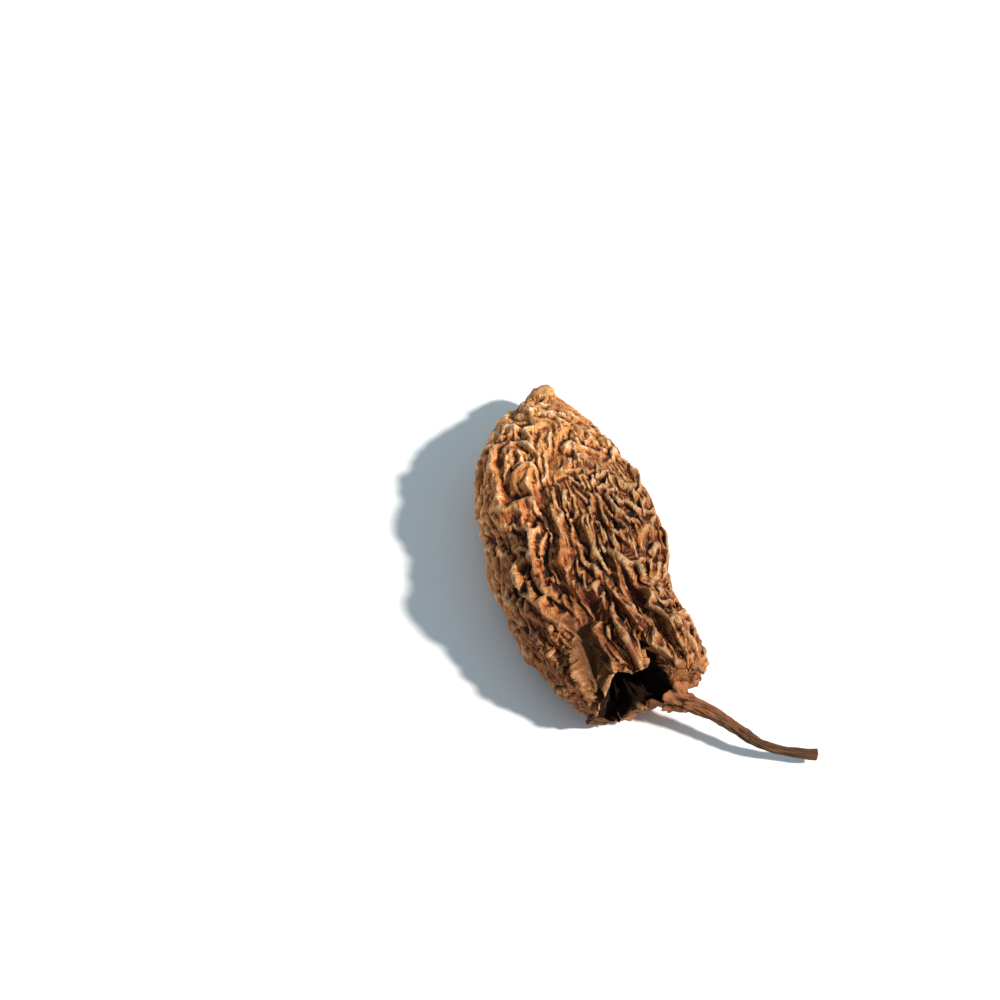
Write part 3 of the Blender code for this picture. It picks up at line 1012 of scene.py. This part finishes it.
    # How loose the skin lies: rising from the seat, the tip and the ground, and less in the hollow and recess
    loose_from_seat: tuple = (2.9, 4.4)
    loose_from_x: tuple = (-42, -38.5)
    loose_from_z: tuple = (0.2, 2.5)
    loose_facing: tuple = (-0.1, 0.6)
    loose_below: float = 0.55
    looser_above: float = 0.45
    hollow_calm: float = 0.95
    recess_calm: float = 0.3

    # Which way the creases run: turns by x, as (angle, start, end), and a wave field, calmer at the tip
    crease_turns: tuple = ((-0.12, -20, -4), (0.25, 8, 20))
    crease_spread: float = 0.5
    crease_waves: Waves = Waves(98, 9)
    crease_half: tuple = (-16, 4)
    tip_x: tuple = (-32, -20)
    tip_along_calm: float = 0.8
    tip_turn_calm: float = 0.7

    # The relief that the material reads: rounds of evening out, and the usual spread of the height over that
    reliefs: tuple = ((Layer.FINE_RELIEF, 3, 0.30), (Layer.RELIEF, 14, 0.8), (Layer.BROAD_RELIEF, 90, 2.4))
    evening: float = 0.8
    # Where the hollow's painted shade sets in, and the share of the recess brown, partly painted shade, on
    # the shoulder's inside and the y over which it fades out
    hollow_painted_shade_from: tuple = (0.02, 0.30)
    inner_painted_shade_share: float = 0.6
    inner_painted_shade_y: tuple = (0, 4)

    def angles(self) -> tuple[Field, Field]:
        """The columns' angles, crowded toward the top by cos, and the section's, toward the sides by sin 2a.

        Returns:
            The columns' angles in degrees, and the section's in radians.
        """
        even = np.arange(self.columns) / self.columns * TURN
        crowded = even + self.top_crowding * (np.cos(even) - 1)
        return np.degrees(crowded), crowded + self.side_crowding * np.sin(2 * crowded)

    def wall(self) -> Grid:
        """The envelope: a rounded section, |cos|^p by |sin|^q, carried along the stations to the rim.

        Returns:
            The wall's points, from the tip to the rim.
        """
        line = through_stations(self.stations, self.wall_rows)
        half_width = np.maximum(line[:, 3], 0)[:, None]
        half_thickness = np.maximum(line[:, 4], 0)[:, None]
        way = unit(np.gradient(line[:, :2], axis=0))
        way = unit(self.middle_line_follow * way + (1 - self.middle_line_follow) * np.array([1.0, 0.0]))
        degrees, angles = self.angles()
        across = np.sign(np.cos(angles)) * np.abs(np.cos(angles)) ** self.section_roundness[0]
        upward = np.sign(np.sin(angles)) * np.abs(np.sin(angles)) ** self.section_roundness[1]
        points = np.empty((self.wall_rows, self.columns, 3))
        points[..., 0] = line[:, 0:1] - way[:, 1:2] * half_width * across
        points[..., 1] = line[:, 1:2] + way[:, 0:1] * half_width * across
        points[..., 2] = line[:, 2:3] + half_thickness * upward
        for middle, spread, amount, start_x in self.shoulder_shifts:
            easing = smooth_step(line[:, 0:1], start_x, self.stations[-1][0])
            points[..., 0] += easing * amount * bell(degrees, middle, spread)
        return points

    def shoulder(self, rim: Grid) -> tuple[Grid, Field, Field, Field]:
        """The rows from the rim in to the calyx seat, pushed toward the hollow's heart and lifted at the lip.

        Args:
            rim: The wall's last row.

        Returns:
            The rows' points, the share of the relief that they keep, how far each is outside (1 at the rim, 0
            within), and how far each is pushed into the hollow.
        """
        shares = np.arange(1, self.shoulder_rows + 1) / self.shoulder_rows
        reach = (shares**self.shoulder_crowding)[:, None]
        points = rim[None] * (1 - reach[..., None]) + np.asarray(self.seat) * reach[..., None]
        degrees, _ = self.angles()
        opens, open_, closing, shut = self.hollow_angles
        torn = self.tear.at(points)
        uneven = degrees + self.tear_degrees * torn
        opening = smooth_step(uneven, opens, open_) * (1 - smooth_step(uneven, closing, shut))
        starts, full, ending, ends = self.hollow_reach
        ragged = reach + self.tear_reach * torn
        pushed = smooth_step(reach, starts, full) * (1 - smooth_step(ragged, ending, ends)) * opening
        points = points + self.hollow_depth * pushed[..., None] * (np.asarray(self.hollow_heart) - points)
        lip_starts, lip_full, lip_ending, lip_ends = self.lip_reach
        lip = smooth_step(reach, lip_starts, lip_full) * (1 - smooth_step(reach, lip_ending, lip_ends))
        lip = lip * bell(degrees, *self.lip_angle)
        inside = smooth_step(reach, 0, self.shoulder_calm_reach)
        kept = 1 - inside * (self.shoulder_calm[0] + self.shoulder_calm[1] * opening)
        return points + lip[..., None] * np.asarray(self.lip_lift), kept, 1 - inside, pushed

    def recess(self, points: Grid, widening: float = 1.0) -> Field:
        """How far each point lies in the recess beside the hollow, widened: a bell in x times a bell in y."""
        (x, y), (length, width) = self.recess_middle, (widening * spread for spread in self.recess_spread)
        return bell(points[..., 0], x, length) * bell(points[..., 1], y, width)

    def fold_height(self, points: Grid, bent: Grid, facing_up: Field) -> Field:
        """(the folds' sum - the sunken ground between them - the recess) * facing_up.

        Args:
            points: The envelope's points.
            bent: The same on wandering ground.
            facing_up: How far each faces up.

        Returns:
            The height at each point.
        """
        x, y = points[..., 0], points[..., 1]
        sunken = smooth_step(x, *self.sunken_x) * smooth_step(y, *self.sunken_y)
        sunken = sunken * (1 - smooth_step(y, *self.far_side_y))
        plan = (points[..., :2] + bent[..., :2]) / 2
        rise = sum(fold.height(plan, self.fold_sharpness) for fold in self.folds)
        return (rise - self.sunken_depth * sunken - self.recess_depth * self.recess(points)) * facing_up

    def ridge_height(self, points: Grid, bent: Grid) -> Field:
        """Lumps, lengthwise ridges and plates: wave fields on wandering ground, turned into crests and flats.

        The plates are min(|waves|, 1). The tip's half rises more and has thin lines, and the sides near the
        shoulder have crags.

        Args:
            points: The envelope's points.
            bent: The same on wandering ground.

        Returns:
            The height at each point.
        """
        x, y = points[..., 0], points[..., 1]
        rippled = bent + self.ripple.at(bent)
        jagged = rippled + self.jag.at(points)
        least, more = self.long_ridge_rise
        height = self.lump_rise * self.lumps.at(bent)
        height += (least + more * smooth_step(x, *self.long_ridge_x)) * self.long_ridges.height(bent)
        height += self.plate_rise * (np.minimum(np.abs(self.plates.at(rippled)), 1.0) - self.plate_middle)
        height += self.short_ridges.height(rippled)
        tipward = 1 - smooth_step(x + self.tip_slant * y, *self.tip_half)
        lines = sum(line.height(jagged) for line in self.tip_lines)
        sides = 1 - smooth_step(y, *self.crag_y) + self.far_crag_share * smooth_step(y, *self.far_side_y)
        rough = sum(crag.height(jagged) for crag in self.crags)
        height = height * (1 + self.tip_gain * tipward) + self.tip_line_share * tipward * lines
        return height + smooth_step(x, *self.crag_x) * sides * rough

    def flesh(self) -> tuple[Grid, Field, Field]:
        """The form under the creases: envelope, shoulder, folds and ridges, flat where it rests.

        Returns:
            The grid's points, how far each is outside the shoulder's inner side, and how far into the hollow.
        """
        wall = self.wall()
        end, end_kept, end_outside, pushed = self.shoulder(wall[-1])
        points = np.concatenate([wall, end])
        whole = np.ones(wall.shape[:2])
        kept = np.concatenate([whole, end_kept])
        outside = np.concatenate([whole, np.broadcast_to(end_outside, end_kept.shape)])
        sunken_in = np.concatenate([0 * whole, pushed])
        normals = row_normals(points)
        radius = np.linalg.norm(points - points.mean(axis=1, keepdims=True), axis=2)
        from_seat = np.linalg.norm(points - np.asarray(self.seat), axis=2)
        seated = 1 - smooth_step(from_seat, self.seat_flat, self.seat_fade)
        seated[: self.wall_rows // 2] = 0
        from_rest = np.linalg.norm(points[..., :2], axis=2)
        resting = (1 - smooth_step(from_rest, *self.rest_radius)) * (normals[..., 2] < 0)
        facing_up = smooth_step(normals[..., 2], *self.fold_facing) * outside
        bent = points + self.bend.at(points)
        height = self.ridge_share * self.ridge_height(points, bent)
        height += self.fold_height(points, bent, facing_up)
        height *= smooth_step(radius, 0, self.tip_fade) * kept * (1 - seated) * (1 - resting)
        around = unit(np.roll(points, -1, axis=1) - np.roll(points, 1, axis=1))
        lean = self.fold_lean * np.clip(height, *self.fold_lean_limits)
        lean = lean * smooth_step(points[..., 0], *self.fold_lean_x) * facing_up
        points = points + normals * height[..., None] + around * lean[..., None]
        way = unit(np.asarray(self.stem_way))
        points = points - (seated * ((points - np.asarray(self.seat)) @ way))[..., None] * way
        points[..., 2] -= self.rest_sink * resting
        points[..., 2] = np.maximum(points[..., 2], 0)
        return points, outside, sunken_in

    def looseness(self, base: Grid, facing: Field, calm: Field) -> Field:
        """How free the skin is to crease: its rises from the seat, tip and ground, times calm, times facing.

        Args:
            base: The skin's points.
            facing: The z of their normals.
            calm: How free the hollow and the recess leave it.

        Returns:
            0 to 1 at each point.
        """
        x, z = base[..., 0], base[..., 2]
        loose = smooth_step(np.linalg.norm(base - np.asarray(self.seat), axis=-1), *self.loose_from_seat)
        loose *= smooth_step(x, *self.loose_from_x) * smooth_step(z, *self.loose_from_z) * calm
        return loose * (self.loose_below + self.looser_above * smooth_step(facing, *self.loose_facing))

    def skin(self, flesh: Grid, hollow: Field) -> Grid:
        """The flesh after its three scales of shrivelling, the coarse ones on every fourth and second point.

        Args:
            flesh: The grid of the form under the creases.
            hollow: How far each point is in the hollow.

        Returns:
            The skin's grid, kept over the ground and bent by tanh under the ceiling.
        """
        skin = flesh
        drift = self.drift.at(flesh)
        calm = (1 - self.hollow_calm * hollow) * (1 - self.recess_calm * self.recess(flesh))
        for scale in self.shrivels:
            picked = np.s_[:: scale.every, :: scale.every]
            base = skin[picked]
            place = base + drift[picked]
            normals = row_normals(base)
            x, y = base[..., 0], base[..., 1]
            loose = self.looseness(base, normals[..., 2], calm[picked])
            tipward = 1 - smooth_step(x, *self.tip_x)
            creased = smooth_step(x + self.tip_slant * y, *self.crease_half)
            creased = scale.at_tip + (1 - scale.at_tip) * creased
            patches = scale.patches(place)
            across = scale.across * creased * patches * loose
            along = scale.along * creased * patches * (1 - self.tip_along_calm * tipward) * loose
            turned = sum(angle * smooth_step(x, start, end) for angle, start, end in self.crease_turns)
            astray = (1 - self.tip_turn_calm * tipward) * self.crease_spread * self.crease_waves.at(place)
            first = (scale.start_height * scale.start.at(place) * loose)[..., None] * normals
            shift = scale.settle(base, first, turned + astray, across, along, scale.held(place, loose))
            for _ in range(scale.every.bit_length() - 1):
                shift = twice_as_fine(shift)
            skin = skin + shift
        skin[..., 2] = np.maximum(skin[..., 2], 0)
        top, give = self.ceiling
        over = np.maximum(skin[..., 2] - top, 0)
        skin[..., 2] -= over - give * np.tanh(over / give)
        return skin

    def layers(self, skin: Grid, flesh: Grid, outside: Field, hollow: Field) -> dict[Layer, Field]:
        """What the material reads. Relief is 0.5 + height over the evened-out skin / its usual spread. The
        hollow layer places the painted shade in the hollow, and the recess layer the recess brown, partly
        painted shade.

        Args:
            skin: The skin's grid.
            flesh: The grid of the form under it.
            outside: How far each point is outside the shoulder's inner side.
            hollow: How far each point is in the hollow.

        Returns:
            A field from 0 to 1 for each layer.
        """
        normals = row_normals(flesh)
        found = {}
        for layer, rounds, spread in self.reliefs:
            even = skin
            for _ in range(rounds):
                even = even + self.evening * curving(even)
            found[layer] = np.clip(0.5 + ((skin - even) * normals).sum(axis=-1) / spread, 0, 1)
        # Where the hollow's painted shade goes
        found[Layer.HOLLOW] = smooth_step(hollow, *self.hollow_painted_shade_from)
        sunken = self.recess(skin, self.recess_paint) * outside * (normals[..., 2] > 0)
        # The recess brown, partly painted shade, also goes on the shoulder's inside, fading out toward +y
        inner_painted_shade = self.inner_painted_shade_share * (1 - outside) * (1 - smooth_step(skin[..., 1], *self.inner_painted_shade_y))
        found[Layer.RECESS] = np.maximum(sunken, inner_painted_shade)
        return found

    def build(self) -> bpy.types.Object:
        """Makes the pod's piece and puts it in the place of the model's pod.

        Returns:
            The piece.
        """
        flesh, outside, hollow = self.flesh()
        skin = self.skin(flesh, hollow)
        piece = closed_mesh("pod_skin", skin, self.layers(skin, flesh, outside, hollow))
        piece.data.materials.append(DriedSkin().material())
        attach(piece, "root")
        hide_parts("pod")
        return piece


# The stem


@dataclass
class Stem:
    """The calyx and the stem that grows out of it, in one piece."""

    # The shaft: x, y, z and radius
    stations: tuple = (
        (36.2, 5.0, 7.3, 1.52),
        (37.9, 6.6, 7.35, 1.32),
        (40.5, 9.0, 6.7, 1.15),
        (43.8, 11.7, 5.4, 0.98),
        (47.2, 14.4, 4.2, 0.86),
        (49.5, 17.9, 3.3, 0.80),
        (51.1, 21.1, 2.8, 0.90),
        (51.9, 23.0, 2.6, 1.08),
    )
    rows: int = 200
    columns: int = 96
    cut_end_bulge: float = 0.3

    # The calyx: distance from its foot, and radius as a share of the widest
    seat: tuple = (33.9, 3.6, 7.0)
    way: tuple = (0.90, 0.42, 0.08)
    seat_gap: float = 0.05
    calyx_radius: float = 2.8
    calyx_rings: tuple = (
        (0.0, 0.93),
        (0.1, 1.0),
        (0.3, 0.94),
        (0.6, 0.84),
        (0.9, 0.76),
        (1.3, 0.69),
        (1.6, 0.65),
        (2.0, 0.60),
        (2.4, 0.56),
    )

    # Its edge is frayed in lobes and torn fibres, and its tears curl onward
    edge_fades: tuple = (0.8, 2.4)
    lobes: int = 5
    fray: tuple = (0.01, 0.06)
    tears: Waves = Waves(43, 0.7, 1.0, 0.5)
    flare: float = 0.1
    flare_from: tuple = (0.1, 0.5)

    # Ribs and fibres, drawn out along the stem and coarser on the calyx
    ribs: int = 5
    rib_height: float = 0.05
    fibres: Waves = Waves(42, 0.7, 1.0, 0.5)
    fibre_height: float = 0.08
    fibre_length: float = 2.5
    fibre_turn: float = 1.5
    coarseness: float = 0.5
    coarse_fades: tuple = (2.0, 5.0)
    relief_gain: float = 1.8

    def surface(self) -> tuple[Grid, Field]:
        """Rings round a line: radius * (1 + ribs + fibres), and near the foot 1 + fray, for the torn edge.

        Ribs are h cos(n a). Fibres are waves in (x / length, turn cos a, turn sin a), coarser on the calyx.

        Returns:
            The grid's points, and how high each stands on its ribs and fibres.
        """
        way = unit(np.asarray(self.way))
        foot = np.asarray(self.seat) + self.seat_gap * way
        calyx = [(*foot, 0.0)]
        calyx += [(*(foot + ahead * way), self.calyx_radius * wide) for ahead, wide in self.calyx_rings]
        shaft = through_stations(self.stations, self.rows)
        onward = unit((shaft[-1] - shaft[-2])[:3])
        cut = np.append(shaft[-1, :3] + self.cut_end_bulge * onward, 0.0)
        rows = np.vstack([calyx, shaft, cut])
        middle, radius = rows[:, :3], rows[:, 3]
        ways = np.gradient(middle, axis=0)
        ways[: len(calyx)] = way
        ways[-1] = onward
        ways = unit(ways)
        side = unit(np.cross([0.0, 0.0, 1.0], ways))
        over = np.cross(ways, side)
        angles = np.arange(self.columns) / self.columns * TURN
        spokes = np.cos(angles)[:, None] * side[:, None] + np.sin(angles)[:, None] * over[:, None]
        round_it = self.fibre_turn * np.cos(angles)[None], self.fibre_turn * np.sin(angles)[None]
        drawn_out = np.stack(np.broadcast_arrays(middle[:, 0:1] / self.fibre_length, *round_it), axis=-1)
        ahead = np.linalg.norm(middle - foot, axis=1)[:, None]
        coarse = 1 + self.coarseness * (1 - smooth_step(ahead, *self.coarse_fades))
        relief = self.rib_height * np.cos(self.ribs * angles)[None]
        relief = relief + self.fibre_height * coarse * self.fibres.at(drawn_out)
        torn = np.abs(self.tears.at(drawn_out[:1]))
        fray = self.fray[0] * np.cos(self.lobes * angles) + self.fray[1] * torn
        footing = 1 - smooth_step(ahead, *self.edge_fades)
        reach = radius[:, None] * (1 + relief + footing * fray)
        points = middle[:, None] + reach[..., None] * spokes
        curl = self.flare * torn * footing * smooth_step(ahead, *self.flare_from)
        return points + curl[..., None] * way, np.clip(0.5 + self.relief_gain * relief, 0, 1)

    def build(self) -> bpy.types.Object:
        """Makes the stem's piece and puts it in the place of the model's stem.

        Returns:
            The piece.
        """
        grid, relief = self.surface()
        piece = closed_mesh("calyx_and_stem", grid, {Layer.RELIEF: relief})
        piece.data.materials.append(DryStem().material())
        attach(piece, "root")
        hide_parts("stem")
        return piece


# The studio


@dataclass
class Studio:
    """The pale sheet, the light and the camera."""

    # The camera's angles in degrees, its lens in millimetres, and its distance in metres
    azimuth: float = 68.0
    elevation: float = 50.0
    lens: float = 135.0
    sensor: float = 36.0
    distance: float = 0.675
    nearest: float = 0.01

    # Where the frame's origin falls in the photograph, 1000 pixels wide
    origin_pixel: tuple = (577.4, 585.3)
    middle_pixel: float = 500.0
    metres_per_pixel: float = 0.18e-3

    # The key light's way, as seen from the camera's azimuth, and the sky, both in linear light
    key_from: tuple = (1.1, -0.435, 1.0)
    key_strength: float = 5.8
    key_colour: tuple = (1.0, 0.95, 0.90)
    key_angle: float = 5.0
    sky: tuple = (0.70, 0.89, 1.0)
    sky_strength: float = 0.50
    sheet_size: float = 4.0

    def sheet(self) -> None:
        """Lays the pale sheet at the height that the pod rests on."""
        half = self.sheet_size / 2
        mesh = bpy.data.meshes.new("sheet")
        corners = [(-half, -half, 0), (half, -half, 0), (half, half, 0), (-half, half, 0)]
        mesh.from_pydata(corners, [], [(0, 1, 2, 3)])
        mesh.materials.append(PaleSheet().material())
        placed("sheet", mesh)

    def camera(self) -> None:
        """Places the camera by its angles, so that the frame's origin falls on its pixel."""
        turn, rise = math.radians(self.azimuth), math.radians(self.elevation)
        flat = math.cos(rise)
        back = Vector((math.sin(turn) * flat, -math.cos(turn) * flat, math.sin(rise)))
        right = Vector((math.cos(turn), math.sin(turn), 0))
        up = back.cross(right)
        offset = [(pixel - self.middle_pixel) * self.metres_per_pixel for pixel in self.origin_pixel]
        data = bpy.data.cameras.new("camera")
        data.lens = self.lens
        data.sensor_width = self.sensor
        data.clip_start = self.nearest
        made = placed("camera", data)
        made.location = back * self.distance - right * offset[0] + up * offset[1]
        made.rotation_mode = "QUATERNION"
        made.rotation_quaternion = (-back).to_track_quat("-Z", "Y")
        bpy.context.scene.camera = made

    def light(self) -> None:
        """A broad key light from the camera's right, and a pale sky that fills the shadows."""
        turn = math.radians(self.azimuth)
        x, y, z = self.key_from
        east, north = x * math.cos(turn) - y * math.sin(turn), x * math.sin(turn) + y * math.cos(turn)
        data = bpy.data.lights.new("key", "SUN")
        data.energy = self.key_strength
        data.color = self.key_colour
        data.angle = math.radians(self.key_angle)
        made = placed("key", data)
        made.rotation_mode = "QUATERNION"
        made.rotation_quaternion = Vector((east, north, z)).to_track_quat("Z", "Y")
        world = bpy.data.worlds.new("pale_sky")
        world.use_nodes = True
        background = world.node_tree.nodes["Background"]
        background.inputs["Color"].default_value = (*self.sky, 1.0)
        background.inputs["Strength"].default_value = self.sky_strength
        bpy.context.scene.world = world
        bpy.context.scene.view_settings.view_transform = "Standard"

    def build(self) -> None:
        """Sets up the sheet, the light and the camera."""
        self.sheet()
        self.light()
        self.camera()


def report(piece: bpy.types.Object) -> None:
    """Logs the piece's name, faces and size."""
    size = " x ".join(f"{side / MM:.1f}" for side in piece.dimensions)
    log.info("%s: %d faces, %s mm", piece.name, len(piece.data.polygons), size)


def main() -> None:
    """Builds the studio, the pod and the stem, and reports each piece."""
    logging.basicConfig(level=logging.INFO, format="%(name)s: %(message)s")
    Studio().build()
    for part in (Pod(), Stem()):
        report(part.build())


if __name__ == "__main__":
    main()
